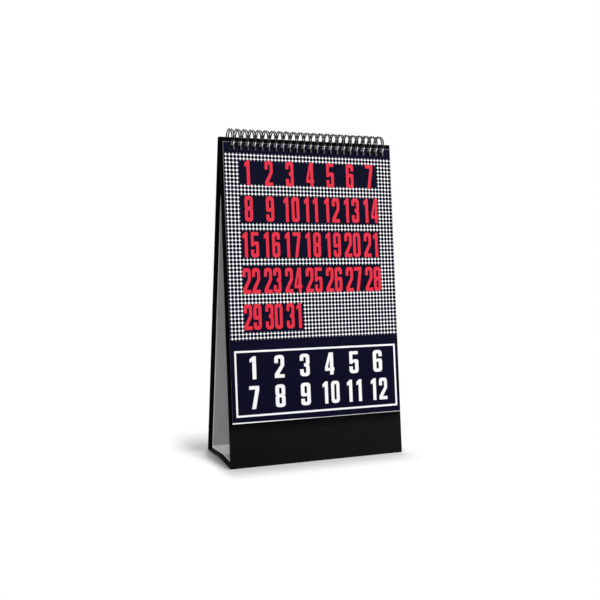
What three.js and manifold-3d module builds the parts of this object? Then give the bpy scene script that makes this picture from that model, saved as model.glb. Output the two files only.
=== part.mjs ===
// Desk calendar: a folding easel of paper-covered board, a twin-loop wire binding along its top
// edges, a printed cover leaf and twelve month leaves hanging in front.
// Millimetres, +X to the right, +Y to the rear, +Z up, the easel standing on the plane z = 0.
import * as THREE from 'three';
import { mergeVertices } from 'three/addons/utils/BufferGeometryUtils.js';
import Module from 'manifold-3d';

// Easel
const EASEL_WIDTH = 156.3;
const BASE_DEPTH = 65.5; // outer corner to outer corner on the desk
const TOP_HEIGHT = 266.5; // top edges of the two upright panels
const CREASE_RISE = 2.0; // the middle of the base stands this high off the desk
const FOOT_WIDTH = 2.4; // flat strip at each end of the base
const FOLD_GAP = 0.3; // between a panel's inner face and the end of the base
// A panel is, from outside in: cover paper, board, turned-in paper edge, lining sheet
const COVER_PAPER = 0.15;
const BOARD = 1.45;
const TURN_IN = 0.12;
const LINING = 0.12;
const GLUE_LINE = 0.03;
const BORDER = 4.2; // turned-in paper at the sides and the top, before the lining laps over it
const FOLD_BORDER = 1.4; // the same beside a fold, where the lining runs into the corner
const LAP = 0.6; // the lining covers this much of the turned-in paper

// Wire binding: the loops are circles about the ring axis
const LOOPS = 23;
const LOOP_PITCH = 6.2;
const WIRE_DIAMETER = 1.2;
const WIRE_SPACING = 1.75; // the two wires of one loop, centre to centre
const RING_RADIUS = 7.9; // wire centreline
const AXIS_BELOW_TOP = 1.0;
const AXIS_BEHIND_MIDDLE = 5.0;
const AXIS_TO_INNER_FACE = 0.35;
const ROOT_ANGLE = -37; // degrees from the front panel's foot, towards the front
const TIP_ANGLE = 312.2;
const ROOT_BEND = 0.9;
const LEG_STEPS = 12;
const TUBE_SIDES = 6;

// Leaves: 6 x 9 inches
const LEAF_WIDTH = 152.4;
const LEAF_HEIGHT = 228.6;
const LEAF_BELOW_TOP = 4.35;
const MONTHS = 12;
const MONTH_THICKNESS = 0.155;
const COVER_THICKNESS = 0.2;
const LEAF_GAP = 0.03;
const PANEL_TO_LEAF = 0.12;
const SLOT_WIDTH = 3.6;
const SLOT_HEIGHT = 4.4;
const SLOT_MARGIN = 1.85; // paper between a leaf's top edge and its slots

const PANEL = COVER_PAPER + BOARD + TURN_IN + LINING + 3 * GLUE_LINE;
const OUTER_FACE = AXIS_TO_INNER_FACE + PANEL;
const AXIS_HEIGHT = TOP_HEIGHT - AXIS_BELOW_TOP;

/** Lean from upright of a panel whose outer foot is `reach` from the ring axis along Y. */
function lean(reach) {
  const span = Math.hypot(reach, AXIS_HEIGHT);
  return Math.atan2(reach, AXIS_HEIGHT) - Math.asin(OUTER_FACE / span);
}

const frontReach = BASE_DEPTH / 2 + AXIS_BEHIND_MIDDLE;
const rearReach = BASE_DEPTH / 2 - AXIS_BEHIND_MIDDLE;
const FRONT_LEAN = lean(frontReach);
const REAR_LEAN = lean(rearReach);

const wasm = await Module();
wasm.setup();

function toSolid(geometry) {
  const bare = geometry.clone();
  for (const name of Object.keys(bare.attributes)) {
    if (name !== 'position') bare.deleteAttribute(name);
  }
  const merged = mergeVertices(bare, 1e-5);
  const mesh = new wasm.Mesh({
    numProp: 3,
    vertProperties: new Float32Array(merged.attributes.position.array),
    triVerts: new Uint32Array(merged.index.array),
  });
  return new wasm.Manifold(mesh);
}

function toGeometry(solid) {
  const mesh = solid.getMesh();
  const geometry = new THREE.BufferGeometry();
  geometry.setAttribute('position', new THREE.BufferAttribute(mesh.vertProperties, 3));
  geometry.setIndex(new THREE.BufferAttribute(mesh.triVerts, 1));
  return geometry;
}

function cut(geometry, ...tools) {
  let solid = toSolid(geometry);
  for (const tool of tools) solid = solid.subtract(toSolid(tool));
  return toGeometry(solid);
}

function finish(geometry) {
  const flat = geometry.index ? geometry.toNonIndexed() : geometry;
  flat.deleteAttribute('uv');
  flat.computeVertexNormals();
  return flat;
}

/** Closed slab from flat triangles: points are [x, z], faces anticlockwise seen from the front. */
function slab(points, faces, y0, y1) {
  const count = points.length;
  const positions = [y0, y1].flatMap((y) => points.flatMap(([x, z]) => [x, y, z]));
  const index = faces.flatMap(([a, b, c]) => [a, b, c, a + count, c + count, b + count]);
  const edges = new Set(faces.flatMap(([a, b, c]) => [`${a},${b}`, `${b},${c}`, `${c},${a}`]));
  for (const edge of edges) {
    const [a, b] = edge.split(',').map(Number);
    if (!edges.has(`${b},${a}`)) index.push(b, a, a + count, b, a + count, b + count);
  }
  const geometry = new THREE.BufferGeometry();
  geometry.setAttribute('position', new THREE.Float32BufferAttribute(positions, 3));
  geometry.setIndex(index);
  return geometry;
}

/** Flat plate across X, from z0 up to z1 and from y0 back to y1, with the row of wire slots. */
function plate(width, z0, z1, y0, y1, slots) {
  const half = width / 2;
  if (!slots) {
    const corners = [[-half, z0], [half, z0], [half, z1], [-half, z1]];
    return slab(corners, [[0, 1, 2], [0, 2, 3]], y0, y1);
  }
  const marks = [-half];
  for (let k = 0; k < LOOPS; k += 1) {
    const x = (k - (LOOPS - 1) / 2) * LOOP_PITCH;
    marks.push(x - SLOT_WIDTH / 2, x + SLOT_WIDTH / 2);
  }
  marks.push(half);
  const n = marks.length;
  const points = [...marks.map((x) => [x, slots[0]]), ...marks.map((x) => [x, slots[1]]),
    [-half, z0], [half, z0], [-half, z1], [half, z1]];
  const [lowLeft, lowRight, highLeft, highRight] = [2 * n, 2 * n + 1, 2 * n + 2, 2 * n + 3];
  const faces = [[lowLeft, lowRight, n - 1], [highRight, highLeft, 2 * n - 1]];
  for (let i = 0; i < n - 1; i += 1) {
    faces.push([lowLeft, i + 1, i], [highLeft, n + i, n + i + 1]);
    // the webs between the slots, and the margins at both ends
    if (i % 2 === 0) faces.push([i, i + 1, n + i + 1], [i, n + i + 1, n + i]);
  }
  return slab(points, faces, y0, y1);
}

/** Bar along X whose section is a closed outline of [y, z] points. */
function bar(width, outline) {
  const shape = new THREE.Shape(outline.map(([y, z]) => new THREE.Vector2(y, z)));
  const geometry = new THREE.ExtrudeGeometry(shape, { depth: width, bevelEnabled: false });
  geometry.applyMatrix4(new THREE.Matrix4().makeBasis(
    new THREE.Vector3(0, 1, 0), new THREE.Vector3(0, 0, 1), new THREE.Vector3(1, 0, 0)));
  geometry.translate(-width / 2, 0, 0);
  return geometry;
}

function piece(name, geometry, color, roughness, metalness = 0) {
  const material = new THREE.MeshStandardMaterial({ color, roughness, metalness });
  const mesh = new THREE.Mesh(finish(geometry), material);
  mesh.name = name;
  return mesh;
}

const BLACK_PAPER = 0x121214;
const GREY_BOARD = 0x8a8378;
const GREY_LINING = 0xa4a5a8;
const NAVY_PRINT = 0x11132c;
const WHITE_PAPER = 0xf3f3f0;
const DARK_CHROME = 0x8d9097;

// The wire's slots through a panel, in the panel's own frame, z measured from the ring axis
const WIRE_RADIUS = WIRE_DIAMETER / 2;
const PANEL_SLOTS = [-RING_RADIUS - 1.9, -RING_RADIUS + 1.8];

/** The three glued pieces of one upright panel; z = 0 is the ring axis and -Y faces out. */
function panelPieces(side, foot) {
  const top = AXIS_BELOW_TOP;
  const edge = COVER_PAPER + GLUE_LINE;
  const liningFront = -AXIS_TO_INNER_FACE - LINING;
  const turnBack = liningFront - GLUE_LINE;
  const boardBack = turnBack - TURN_IN - GLUE_LINE;
  const boardFront = boardBack - BOARD;
  const paperBack = boardFront - GLUE_LINE;
  const board = plate(EASEL_WIDTH - 2 * edge, foot + edge, top - edge,
    boardFront, boardBack, PANEL_SLOTS);
  const wrapped = plate(EASEL_WIDTH, foot, top, -OUTER_FACE, turnBack, PANEL_SLOTS);
  const cavity = plate(EASEL_WIDTH - 2 * COVER_PAPER, foot + COVER_PAPER, top - COVER_PAPER,
    paperBack, turnBack - TURN_IN);
  const window = plate(EASEL_WIDTH - 2 * BORDER, foot + FOLD_BORDER, top - BORDER,
    turnBack - TURN_IN - 0.2, turnBack + 0.2);
  const lining = plate(EASEL_WIDTH - 2 * (BORDER - LAP), foot + FOLD_BORDER - LAP,
    PANEL_SLOTS[0] - 2, liningFront, -AXIS_TO_INNER_FACE);
  return [
    piece(`${side}_board`, board, GREY_BOARD, 0.9),
    piece(`${side}_cover_paper`, cut(wrapped, cavity, window), BLACK_PAPER, 0.6),
    piece(`${side}_lining`, lining, GREY_LINING, 0.85),
  ];
}

/** Distance along a panel from the ring axis to its foot. */
function footBelowAxis(reach, angle) {
  return -(reach * Math.sin(angle) + AXIS_HEIGHT * Math.cos(angle));
}

/** Section of one layer of the base: flat feet and a raised crease in the middle. */
function creased(half, bottom, top) {
  const inner = BASE_HALF - FOOT_WIDTH;
  const level = (y) => CREASE_RISE * Math.max(0, 1 - Math.abs(y) / inner);
  const marks = half > inner ? [-half, -inner, 0, inner, half] : [-half, 0, half];
  const lower = marks.map((y) => [y, level(y) + bottom]);
  const upper = marks.map((y) => [y, level(y) + top]).reverse();
  return [...lower, ...upper];
}

const innerFoot = OUTER_FACE - AXIS_TO_INNER_FACE;
const BASE_HALF = BASE_DEPTH / 2 - innerFoot / Math.cos(FRONT_LEAN) - FOLD_GAP;

function basePieces() {
  const edge = COVER_PAPER + GLUE_LINE;
  const boardTop = edge + BOARD;
  const turnTop = boardTop + GLUE_LINE + TURN_IN;
  const wrapped = bar(EASEL_WIDTH, creased(BASE_HALF, 0, turnTop));
  const cavity = bar(EASEL_WIDTH - 2 * COVER_PAPER,
    creased(BASE_HALF - COVER_PAPER, COVER_PAPER, turnTop - TURN_IN));
  const window = bar(EASEL_WIDTH - 2 * BORDER,
    creased(BASE_HALF - FOLD_BORDER, turnTop - TURN_IN - 0.2, turnTop + 0.3));
  const board = bar(EASEL_WIDTH - 2 * edge, creased(BASE_HALF - edge, edge, boardTop));
  const lining = bar(EASEL_WIDTH - 2 * (BORDER - LAP),
    creased(BASE_HALF - FOLD_BORDER + LAP, turnTop + GLUE_LINE, turnTop + GLUE_LINE + LINING));
  return [
    piece('base_board', board, GREY_BOARD, 0.9),
    piece('base_cover_paper', cut(wrapped, cavity, window), BLACK_PAPER, 0.6),
    piece('base_lining', lining, GREY_LINING, 0.85),
  ];
}

/** Centreline of the binding, unrolled: x across, a the angle round the ring in degrees. */
function wirePath() {
  const degree = (RING_RADIUS * Math.PI) / 180; // arc length of one degree
  const half = WIRE_SPACING / 2;
  const points = [];
  const legFrom = ROOT_ANGLE + ROOT_BEND / degree;
  const legTo = TIP_ANGLE - half / degree;
  const bend = (x, a, radius, from, to, steps) => {
    for (let i = 0; i <= steps; i += 1) {
      const t = THREE.MathUtils.degToRad(from + ((to - from) * i) / steps);
      points.push([x + radius * Math.cos(t), a + (radius * Math.sin(t)) / degree]);
    }
  };
  for (let k = 0; k < LOOPS; k += 1) {
    const x = (k - (LOOPS - 1) / 2) * LOOP_PITCH;
    if (k === 0) points.push([x - half - ROOT_BEND - 0.8, ROOT_ANGLE]);
    bend(x - half - ROOT_BEND, legFrom, ROOT_BEND, -90, 0, 2);
    for (let i = 1; i < LEG_STEPS; i += 1) {
      points.push([x - half, legFrom + ((legTo - legFrom) * i) / LEG_STEPS]);
    }
    bend(x, legTo, half, 180, 0, 4);
    for (let i = LEG_STEPS - 1; i > 0; i -= 1) {
      points.push([x + half, legFrom + ((legTo - legFrom) * i) / LEG_STEPS]);
    }
    bend(x + half + ROOT_BEND, legFrom, ROOT_BEND, 180, 270, 2);
    if (k === LOOPS - 1) points.push([x + half + ROOT_BEND + 0.8, ROOT_ANGLE]);
  }
  return points;
}

/** Point of the binding in the front panel's frame. */
function onRing([x, a], radius = RING_RADIUS) {
  const t = THREE.MathUtils.degToRad(a);
  return new THREE.Vector3(x, -radius * Math.sin(t), -radius * Math.cos(t));
}

/** One closed tube along the whole centreline. */
function wireGeometry(path) {
  const centres = path.map((p) => onRing(p));
  const positions = [];
  const index = [];
  const last = centres.length - 1;
  centres.forEach((centre, i) => {
    const tangent = centres[Math.min(i + 1, last)].clone()
      .sub(centres[Math.max(i - 1, 0)]).normalize();
    const radial = onRing([0, path[i][1]], 1);
    radial.addScaledVector(tangent, -radial.dot(tangent)).normalize();
    const side = new THREE.Vector3().crossVectors(tangent, radial);
    for (let s = 0; s < TUBE_SIDES; s += 1) {
      const t = (2 * Math.PI * s) / TUBE_SIDES;
      const p = centre.clone().addScaledVector(radial, WIRE_RADIUS * Math.cos(t))
        .addScaledVector(side, WIRE_RADIUS * Math.sin(t));
      positions.push(p.x, p.y, p.z);
    }
    if (i < last) {
      for (let s = 0; s < TUBE_SIDES; s += 1) {
        const a = i * TUBE_SIDES + s;
        const b = i * TUBE_SIDES + ((s + 1) % TUBE_SIDES);
        index.push(a, b, a + TUBE_SIDES, b, b + TUBE_SIDES, a + TUBE_SIDES);
      }
    }
  });
  for (let s = 1; s < TUBE_SIDES - 1; s += 1) {
    const end = last * TUBE_SIDES;
    index.push(0, s + 1, s, end, end + s, end + s + 1);
  }
  const geometry = new THREE.BufferGeometry();
  geometry.setAttribute('position', new THREE.Float32BufferAttribute(positions, 3));
  geometry.setIndex(index);
  return geometry;
}

/** Least gap between stretches of the wire that are not next to each other along it. */
function leastGap(path) {
  const fine = [];
  for (let i = 0; i < path.length - 1; i += 1) {
    const a = onRing(path[i]);
    const b = onRing(path[i + 1]);
    const steps = Math.ceil(a.distanceTo(b) / 0.15);
    for (let s = 0; s < steps; s += 1) fine.push(a.clone().lerp(b, s / steps));
  }
  const along = [0];
  for (let i = 1; i < fine.length; i += 1) {
    along.push(along[i - 1] + fine[i].distanceTo(fine[i - 1]));
  }
  let least = Infinity;
  const reach = 60; // points of one loop and the next lie within this much wire
  for (let i = 0; i < fine.length; i += 1) {
    for (let j = i + 1; j < fine.length && along[j] - along[i] < reach * 2.2; j += 1) {
      if (along[j] - along[i] > 2.6) least = Math.min(least, fine[i].distanceTo(fine[j]));
    }
  }
  return least - WIRE_DIAMETER;
}

const calendar = new THREE.Group();
calendar.name = 'desk_calendar';

const ringAxis = new THREE.Group();
ringAxis.position.set(0, AXIS_BEHIND_MIDDLE, AXIS_HEIGHT);
calendar.add(ringAxis);

const front = new THREE.Group();
front.rotation.x = -FRONT_LEAN;
ringAxis.add(front);
front.add(...panelPieces('front', footBelowAxis(frontReach, FRONT_LEAN)));

const turned = new THREE.Group();
turned.rotation.z = Math.PI;
ringAxis.add(turned);
const rear = new THREE.Group();
rear.rotation.x = -REAR_LEAN;
turned.add(rear);
rear.add(...panelPieces('rear', footBelowAxis(rearReach, REAR_LEAN)));

calendar.add(...basePieces());

const path = wirePath();
front.add(piece('wire_binding', wireGeometry(path), DARK_CHROME, 0.25, 1));

// The leaves hang in front of the front panel, the last month nearest to it
const leafTop = AXIS_BELOW_TOP - LEAF_BELOW_TOP;
const leafSlots = [leafTop - SLOT_MARGIN - SLOT_HEIGHT, leafTop - SLOT_MARGIN];
let back = -OUTER_FACE - PANEL_TO_LEAF;
for (let n = MONTHS; n >= 0; n -= 1) {
  const thickness = n === 0 ? COVER_THICKNESS : MONTH_THICKNESS;
  const leaf = plate(LEAF_WIDTH, leafTop - LEAF_HEIGHT, leafTop, back - thickness, back, leafSlots);
  const name = n === 0 ? 'cover_leaf' : `month_leaf_${String(n).padStart(2, '0')}`;
  front.add(piece(name, leaf, n === 0 ? NAVY_PRINT : WHITE_PAPER, 0.45));
  back -= thickness + LEAF_GAP;
}

const degrees = (r) => THREE.MathUtils.radToDeg(r).toFixed(3);
console.log(`front lean ${degrees(FRONT_LEAN)}, rear lean ${degrees(REAR_LEAN)} degrees`);
console.log(`least gap of the wire to itself ${leastGap(path).toFixed(3)} mm`);
console.log(`cover leaf's face lies ${(-back - LEAF_GAP).toFixed(3)} mm in front of the ring axis`);

export default calendar;
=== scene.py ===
"""Looks of the desk calendar: covered easel, twin-loop wire, printed cover and month leaves."""
import logging
import math
from dataclasses import dataclass, field
from enum import Enum
from typing import Callable, Iterable, Sequence, Union

import bmesh
import bpy
from mathutils import Matrix, Vector


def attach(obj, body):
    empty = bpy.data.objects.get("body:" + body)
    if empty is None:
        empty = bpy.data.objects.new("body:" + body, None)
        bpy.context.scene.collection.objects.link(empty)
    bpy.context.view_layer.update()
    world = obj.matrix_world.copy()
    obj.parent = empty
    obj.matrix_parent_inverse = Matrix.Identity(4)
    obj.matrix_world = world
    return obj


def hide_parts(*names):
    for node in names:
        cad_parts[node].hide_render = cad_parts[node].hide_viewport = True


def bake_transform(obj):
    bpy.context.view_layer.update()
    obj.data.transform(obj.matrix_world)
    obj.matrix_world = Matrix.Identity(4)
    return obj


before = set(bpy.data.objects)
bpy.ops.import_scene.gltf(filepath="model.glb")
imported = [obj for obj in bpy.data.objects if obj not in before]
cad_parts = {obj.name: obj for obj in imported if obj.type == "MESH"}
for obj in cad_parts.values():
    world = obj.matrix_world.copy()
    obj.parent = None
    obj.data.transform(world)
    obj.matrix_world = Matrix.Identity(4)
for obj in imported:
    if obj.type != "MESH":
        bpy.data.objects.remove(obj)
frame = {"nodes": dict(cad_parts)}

log = logging.getLogger("desk_calendar")
MM = 0.001
# Millimetres of print to one unit of the leaves' UV map
PRINT_UNIT = 100.0
# Edges sharper than this many radians are rounded
ROUNDED_EDGE = 0.7
WHITE_INK = (0.82, 0.82, 0.84)

Point2 = tuple[float, float]
Colour = tuple[float, float, float]
Sides = tuple[float, float, float, float]
Socket = bpy.types.NodeSocket
Value = Union[Socket, float]


class Body(str, Enum):
    """Rigid bodies that the pieces ride on."""

    STAND = "stand"
    REAR = "rear_panel"
    COVER = "cover_leaf_body"


@dataclass(frozen=True)
class Sizes:
    """Sizes of the object in millimetres, the same as the solids have.

    Attributes:
        easel_width: Width of the easel.
        base_depth: Depth on the desk, from outer corner to outer corner.
        top_height: Height of the upright panels' top edges.
        crease_rise: How far the middle of the base stands off the desk.
        foot_width: Width of the flat strip at each end of the base.
        fold_gap: Gap between a panel's inner face and the end of the base.
        panel: Thickness of a panel, from the covering paper to the lining.
        lining: Thickness of the lining sheets.
        under_lining: Glue line under a lining.
        border: Width of the turned-in covering paper at the sides.
        fold_border: Its width beside a fold.
        lap: How far the lining laps over it.
        loops: Loops of the wire.
        pitch: Distance between loops.
        wire: Diameter of the wire.
        wire_spacing: Distance between the two wires of a loop.
        ring_radius: Radius of the ring, to the middle of the wire.
        axis_below_top: Depth of the ring axis under the panels' top edges.
        axis_behind_middle: How far it lies behind the middle of the base.
        axis_to_inner: Distance from it to a panel's inner face.
        root_angle: Where the root bends lie, in degrees from below the axis towards the front.
        tip_angle: Where the tips of the loops lie, likewise.
        root_bend: Radius of a root bend.
        leaf_width: Width of a leaf.
        leaf_height: Height of a leaf.
        leaf_below_top: How far the leaves hang below the panels' top edges.
        months: Leaves behind the cover.
        month_thickness: Thickness of such a leaf.
        cover_thickness: Thickness of the cover.
        leaf_gap: Gap between leaves.
        panel_to_leaf: Gap between the front panel and the last leaf.
        slot_width: Width of a slot.
        slot_height: Height of a leaf's slot.
        slot_margin: Paper between a leaf's top edge and its slots.
    """

    easel_width: float = 156.3
    base_depth: float = 65.5
    top_height: float = 266.5
    crease_rise: float = 2.0
    foot_width: float = 2.4
    fold_gap: float = 0.3
    panel: float = 1.93
    lining: float = 0.12
    under_lining: float = 0.03
    border: float = 4.2
    fold_border: float = 1.4
    lap: float = 0.6
    loops: int = 23
    pitch: float = 6.2
    wire: float = 1.2
    wire_spacing: float = 1.75
    ring_radius: float = 7.9
    axis_below_top: float = 1.0
    axis_behind_middle: float = 5.0
    axis_to_inner: float = 0.35
    root_angle: float = -37.0
    tip_angle: float = 312.2
    root_bend: float = 0.9
    leaf_width: float = 152.4
    leaf_height: float = 228.6
    leaf_below_top: float = 4.35
    months: int = 12
    month_thickness: float = 0.155
    cover_thickness: float = 0.2
    leaf_gap: float = 0.03
    panel_to_leaf: float = 0.12
    slot_width: float = 3.6
    slot_height: float = 4.4
    slot_margin: float = 1.85

    @property
    def outer(self) -> float:
        """Ring axis to a panel's outer face."""
        return self.axis_to_inner + self.panel

    @property
    def axis_height(self) -> float:
        """Ring axis above the desk."""
        return self.top_height - self.axis_below_top

    def reach(self, front: bool) -> float:
        """Ring axis to a panel's outer foot along Y."""
        return self.base_depth / 2 + (1 if front else -1) * self.axis_behind_middle

    def lean(self, front: bool) -> float:
        """Works out how far a panel leans from upright.

        Args:
            front: Whether it is the panel in front.

        Returns:
            The angle in radians.
        """
        reach = self.reach(front)
        span = math.hypot(reach, self.axis_height)
        return math.atan2(reach, self.axis_height) - math.asin(self.outer / span)

    def foot(self, front: bool) -> float:
        """A panel's foot in its own frame, below the ring axis."""
        a = self.lean(front)
        return -(self.reach(front) * math.sin(a) + self.axis_height * math.cos(a))

    def matrix(self, front: bool) -> Matrix:
        """Works out a panel's own frame, whose X axis is the ring axis.

        Args:
            front: Whether it is the panel in front.

        Returns:
            The frame in metres.
        """
        place = Matrix.Translation((0, self.axis_behind_middle * MM, self.axis_height * MM))
        turn = Matrix.Identity(4) if front else Matrix.Rotation(math.pi, 4, "Z")
        return place @ turn @ Matrix.Rotation(-self.lean(front), 4, "X")

    @property
    def base_half(self) -> float:
        """Middle of the base to its end."""
        return self.base_depth / 2 - self.panel / math.cos(self.lean(True)) - self.fold_gap

    @property
    def lining_half(self) -> float:
        """Half the width of the lining sheets."""
        return self.easel_width / 2 - self.border + self.lap

    @property
    def leaf_top(self) -> float:
        """Top edge of the leaves in the front panel's frame."""
        return self.axis_below_top - self.leaf_below_top

    def loop_x(self) -> list[float]:
        """Middles of the wire loops."""
        return [(k - (self.loops - 1) / 2) * self.pitch for k in range(self.loops)]


SIZE = Sizes()


# Materials

@dataclass(frozen=True)
class Grain:
    """Noise over a piece, and how far it raises the surface.

    Attributes:
        scale: Number of patches to a metre.
        detail: Number of finer layers.
        stretch: Scale along each axis; the patches are longer where it is less.
        height: Height of the raised spots in metres.
        strength: Share of their effect.
    """

    scale: float
    detail: float = 3.0
    stretch: tuple[float, float, float] = (1, 1, 1)
    height: float = 0.0
    strength: float = 1.0


class Shade:
    """A material's node tree with short calls for its nodes."""

    def __init__(self, name: str) -> None:
        """Starts a material with an output and a surface.

        Args:
            name: Name of the material.
        """
        self.material = bpy.data.materials.new(name)
        self.material.use_nodes = True
        self.tree = self.material.node_tree
        self.tree.nodes.clear()
        self.out = self.add("ShaderNodeOutputMaterial")
        self.bsdf = self.add("ShaderNodeBsdfPrincipled")
        self.link(self.bsdf.outputs[0], self.out.inputs["Surface"])

    def add(self, kind: str, **values: object) -> bpy.types.Node:
        """Adds a node.

        Args:
            kind: Type of the node.
            **values: Properties to set on it.

        Returns:
            The node.
        """
        node = self.tree.nodes.new(kind)
        for key, value in values.items():
            setattr(node, key, value)
        return node

    def link(self, a: Socket, b: Socket) -> None:
        """Links an output to an input."""
        self.tree.links.new(a, b)

    def put(self, socket: Socket, value: object) -> None:
        """Links an output to an input, or sets the input.

        Args:
            socket: Input of a node.
            value: Output of another node, or a plain value.
        """
        if isinstance(value, Socket):
            self.link(value, socket)
        else:
            socket.default_value = value

    def surface(self, colour: Union[Socket, tuple[float, ...]], roughness: Value,
                specular: Value = 0.5) -> None:
        """Sets how the surface looks.

        Args:
            colour: Base colour.
            roughness: Roughness.
            specular: Specular level.
        """
        self.put(self.bsdf.inputs["Base Color"], colour)
        self.put(self.bsdf.inputs["Roughness"], roughness)
        self.put(self.bsdf.inputs["Specular IOR Level"], specular)

    def calc(self, operation: str, a: Value, b: Value = 0.0, c: Value = 0.0) -> Socket:
        """Adds one step of arithmetic.

        Args:
            operation: Name of the operation.
            a: First value.
            b: Second value, where the operation has one.
            c: Third value, where the operation has one.

        Returns:
            The result.
        """
        node = self.add("ShaderNodeMath", operation=operation)
        for socket, value in zip(node.inputs, (a, b, c)):
            self.put(socket, value)
        return node.outputs[0]

    def mix(self, share: Value, a: Union[Socket, Colour], b: Union[Socket, Colour]) -> Socket:
        """Mixes two colours.

        Args:
            share: Share of the second colour, from 0 to 1.
            a: First colour.
            b: Second colour.

        Returns:
            The mixed colour.
        """
        node = self.add("ShaderNodeMix", data_type="RGBA")
        self.put(node.inputs["Factor"], share)
        for key, value in ((6, a), (7, b)):
            self.put(node.inputs[key], (*value, 1.0) if isinstance(value, tuple) else value)
        return node.outputs[2]

    def dimmed(self, share: Value, colour: Colour, part: float) -> Socket:
        """Mixes a colour with a dimmer one of the same hue.

        Args:
            share: Share of the full colour, from 0 to 1.
            colour: The full colour.
            part: How bright the dimmer one is, as a part of the full one.

        Returns:
            The mixed colour.
        """
        return self.mix(share, tuple(c * part for c in colour), colour)

    def place(self) -> Sequence[Socket]:
        """Splits the object's own coordinates.

        Returns:
            The X, Y and Z in metres.
        """
        split = self.add("ShaderNodeSeparateXYZ")
        self.link(self.add("ShaderNodeTexCoord").outputs["Object"], split.inputs[0])
        return split.outputs

    def print_place(self) -> tuple[Socket, Socket]:
        """Reads the place on a leaf from its UV map.

        Returns:
            The millimetres from the left edge and from the top edge.
        """
        split = self.add("ShaderNodeSeparateXYZ")
        self.link(self.add("ShaderNodeUVMap", uv_map="print").outputs[0], split.inputs[0])
        return tuple(self.calc("MULTIPLY", split.outputs[k], PRINT_UNIT) for k in (0, 1))

    def inside(self, u: Value, v: Value, sides: Sides) -> Value:
        """Marks a rectangle.

        Args:
            u: Place across.
            v: Place down.
            sides: Left, top, right and bottom side.

        Returns:
            1 inside the rectangle and 0 outside.
        """
        left, top, right, bottom = sides
        marked: Value = 1.0
        for operation, value, limit in (("GREATER_THAN", u, left), ("LESS_THAN", u, right),
                                        ("GREATER_THAN", v, top), ("LESS_THAN", v, bottom)):
            marked = self.calc("MULTIPLY", marked, self.calc(operation, value, limit))
        return marked

    def noise(self, grain: Grain) -> Socket:
        """Adds noise over the object's own coordinates, and raises the surface by it.

        Args:
            grain: The noise, which raises nothing where its height is 0.

        Returns:
            The noise, from 0 to 1.
        """
        where = self.add("ShaderNodeTexCoord").outputs["Object"]
        mapping = self.add("ShaderNodeMapping")
        mapping.inputs["Scale"].default_value = grain.stretch
        self.link(where, mapping.inputs["Vector"])
        node = self.add("ShaderNodeTexNoise")
        node.inputs["Scale"].default_value = grain.scale
        node.inputs["Detail"].default_value = grain.detail
        self.link(mapping.outputs[0], node.inputs["Vector"])
        if grain.height:
            self.bump(node.outputs["Fac"], grain)
        return node.outputs["Fac"]

    def ramp(self, value: Value, low: Value, high: Value, to_low: Value = 0.0,
             to_high: Value = 1.0) -> Socket:
        """Maps a value from one range to another, smoothly and clamped.

        Args:
            value: What is mapped.
            low: Start of its range.
            high: End of its range.
            to_low: Result at the start.
            to_high: Result at the end.

        Returns:
            The result.
        """
        node = self.add("ShaderNodeMapRange", interpolation_type="SMOOTHSTEP")
        for socket, v in zip(node.inputs, (value, low, high, to_low, to_high)):
            self.put(socket, v)
        return node.outputs[0]

    def bump(self, noise: Socket, grain: Grain) -> None:
        """Raises the surface by noise, over any bump before it.

        Args:
            noise: The noise, from 0 to 1.
            grain: Its height and its strength.
        """
        node = self.add("ShaderNodeBump")
        node.inputs["Distance"].default_value = grain.height
        node.inputs["Strength"].default_value = grain.strength
        self.link(noise, node.inputs["Height"])
        before = self.bsdf.inputs["Normal"]
        if before.is_linked:
            self.link(before.links[0].from_socket, node.inputs["Normal"])
        self.link(node.outputs[0], before)

    def vary(self, middle: Value, spread: float, noise: Socket) -> Socket:
        """Lets a value vary with noise.

        Args:
            middle: The value's middle.
            spread: From its lowest to its highest.
            noise: Noise from 0 to 1.

        Returns:
            The varying value.
        """
        half = spread / 2
        low = middle - half if isinstance(middle, float) else self.calc("SUBTRACT", middle, half)
        return self.calc("MULTIPLY_ADD", noise, spread, low)


@dataclass(frozen=True)
class CoveringPaper:
    """Black covering paper over board: fine fibre grain, a low sheen and worn patches.

    Attributes:
        name: Name of the material.
        dark: Colour of the dark patches.
        light: Colour of the light, worn patches.
        roughness: Middle of the roughness.
        sheen: Specular level along the foot.
        above: Share of the foot's colour and sheen above the foot: painted shade below 1, painted extra
            sheen above 1.
        strip: Heights in metres between which the foot's colour and sheen pass into those above.
        patches: The patches.
        patch_range: Noise between which a patch goes from dark to light.
        patch_spread: Change of the roughness over the patches.
        fibre: The fibre grain.
        fibre_spread: Change of the roughness over the fibres.
    """

    name: str = "black_covering_paper"
    dark: Colour = (0.0014, 0.0014, 0.0016)
    light: Colour = (0.0032, 0.0032, 0.0035)
    roughness: float = 0.50
    sheen: float = 0.052
    above: float = 1.2
    strip: Point2 = (0.0265, 0.0355)
    patches: Grain = Grain(22.0, 4.0, height=0.0004, strength=0.05)
    patch_range: Point2 = (0.3, 0.75)
    patch_spread: float = 0.12
    fibre: Grain = Grain(2600.0, 2.0, height=0.00003, strength=0.35)
    fibre_spread: float = 0.10

    def make(self) -> bpy.types.Material:
        """Builds the material.

        Returns:
            The material.
        """
        s = Shade(self.name)
        fibre, patches = s.noise(self.fibre), s.noise(self.patches)
        # Painted shade and sheen by height: above the foot the colour and sheen change by the share above
        painted_shade_and_sheen = s.ramp(s.place()[2], *self.strip, 1.0, self.above)
        share = s.calc("MULTIPLY", painted_shade_and_sheen, s.ramp(patches, *self.patch_range))
        rough = s.vary(self.roughness, self.patch_spread, patches)
        s.surface(s.mix(share, self.dark, self.light), s.vary(rough, self.fibre_spread, fibre),
                  s.calc("MULTIPLY", painted_shade_and_sheen, self.sheen))
        return s.material


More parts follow.
